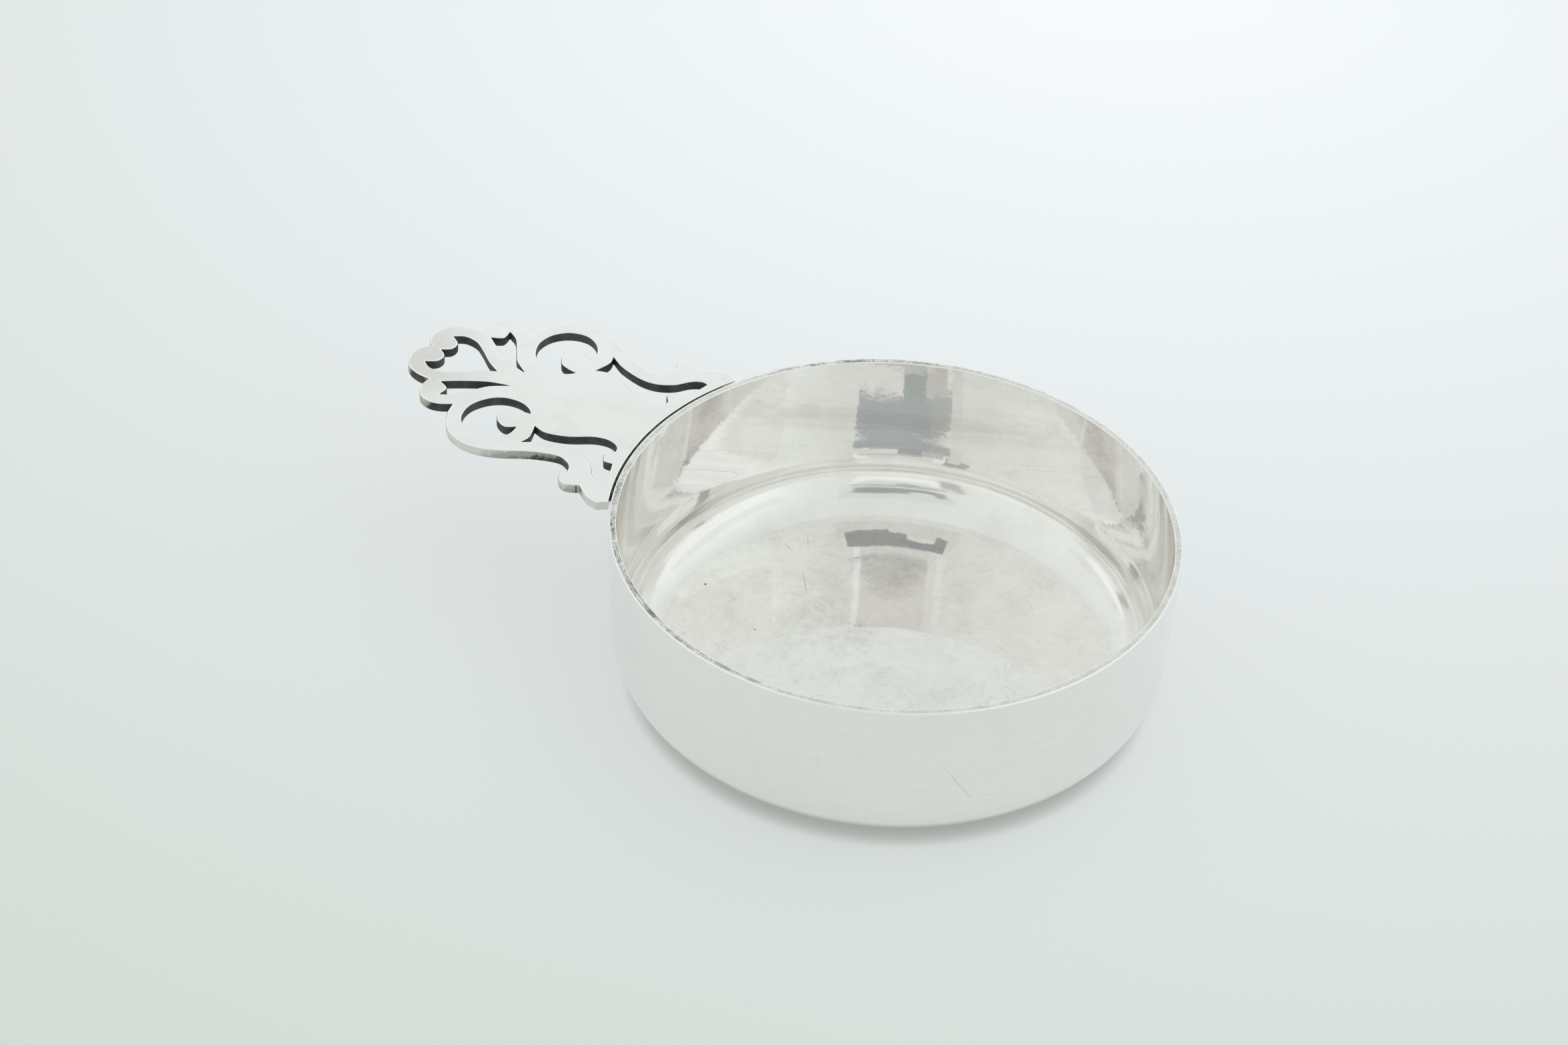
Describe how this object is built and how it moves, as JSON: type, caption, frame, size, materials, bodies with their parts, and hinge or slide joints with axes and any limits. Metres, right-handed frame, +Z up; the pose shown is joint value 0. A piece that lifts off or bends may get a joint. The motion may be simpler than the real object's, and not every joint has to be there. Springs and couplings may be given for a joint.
{
  "type": "porridge bowl",
  "caption": "Round straight-sided silver porridge bowl with a flat pierced scroll handle soldered on level with the rim.",
  "frame": {"origin": "middle of the footprint on the table: halfway between the handle's tip and the far side of the rim, on the plane of the foot ring", "axes": "+Z up along the bowl's axis, -X along the handle away from the bowl, +Y to the handle's side"},
  "size_m": [0.1896, 0.127, 0.0407],
  "materials": {
    "silver": "polished sterling silver with fine scratches and light tarnish",
    "solder": "tarnished hard silver solder in a sunk seam"
  },
  "bodies": {
    "root": {"bowl": "silver", "handle": "silver", "handle_solder": "solder"}
  },
  "joints": []
}
